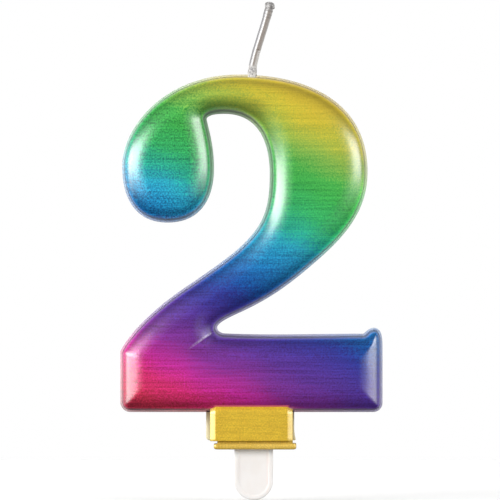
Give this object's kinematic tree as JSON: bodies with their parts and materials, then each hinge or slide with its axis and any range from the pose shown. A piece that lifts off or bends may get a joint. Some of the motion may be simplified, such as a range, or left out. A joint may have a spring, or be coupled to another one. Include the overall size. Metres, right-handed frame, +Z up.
{
  "type": "number birthday candle",
  "caption": "Birthday candle in the shape of the numeral two: wax in a rainbow metallic film, on a gold block with a pick for the cake, and a bendable wick.",
  "frame": {"origin": "where the pick leaves the underside of the base cap, at the middle of the pick's width and thickness", "axes": "+Z up along the numeral, -Y out of the numeral's front, +X to the reader's right"},
  "size_m": [0.0578, 0.0096, 0.1097],
  "materials": {
    "rainbow_metal_film": "satin",
    "gold_metal_film": "satin",
    "paraffin_wax": "satin",
    "translucent_plastic": "satin",
    "wick_cotton": "matte",
    "silvered_wick": "satin"
  },
  "bodies": {
    "candle": {"rainbow_film": "rainbow_metal_film", "gold_film": "gold_metal_film", "wax_body": "paraffin_wax", "base_cap": "gold_metal_film", "cake_pick": "translucent_plastic", "wick_core": "wick_cotton"},
    "wick_foot": {"wick_lower": "silvered_wick"},
    "wick_top": {"wick_upper": "silvered_wick"}
  },
  "joints": [
    {"name": "wick_lean", "type": "hinge", "parent": "candle", "child": "wick_foot", "pos_m": [-0.00015, 0, 0.0842], "axis": [0, 1, 0], "range_deg": [-65, 45]},
    {"name": "wick_kink", "type": "hinge", "parent": "wick_foot", "child": "wick_top", "pos_m": [0.0008, 0, 0.0874], "axis": [0.9661, 0, -0.2581], "range_deg": [-50, 50]}
  ]
}
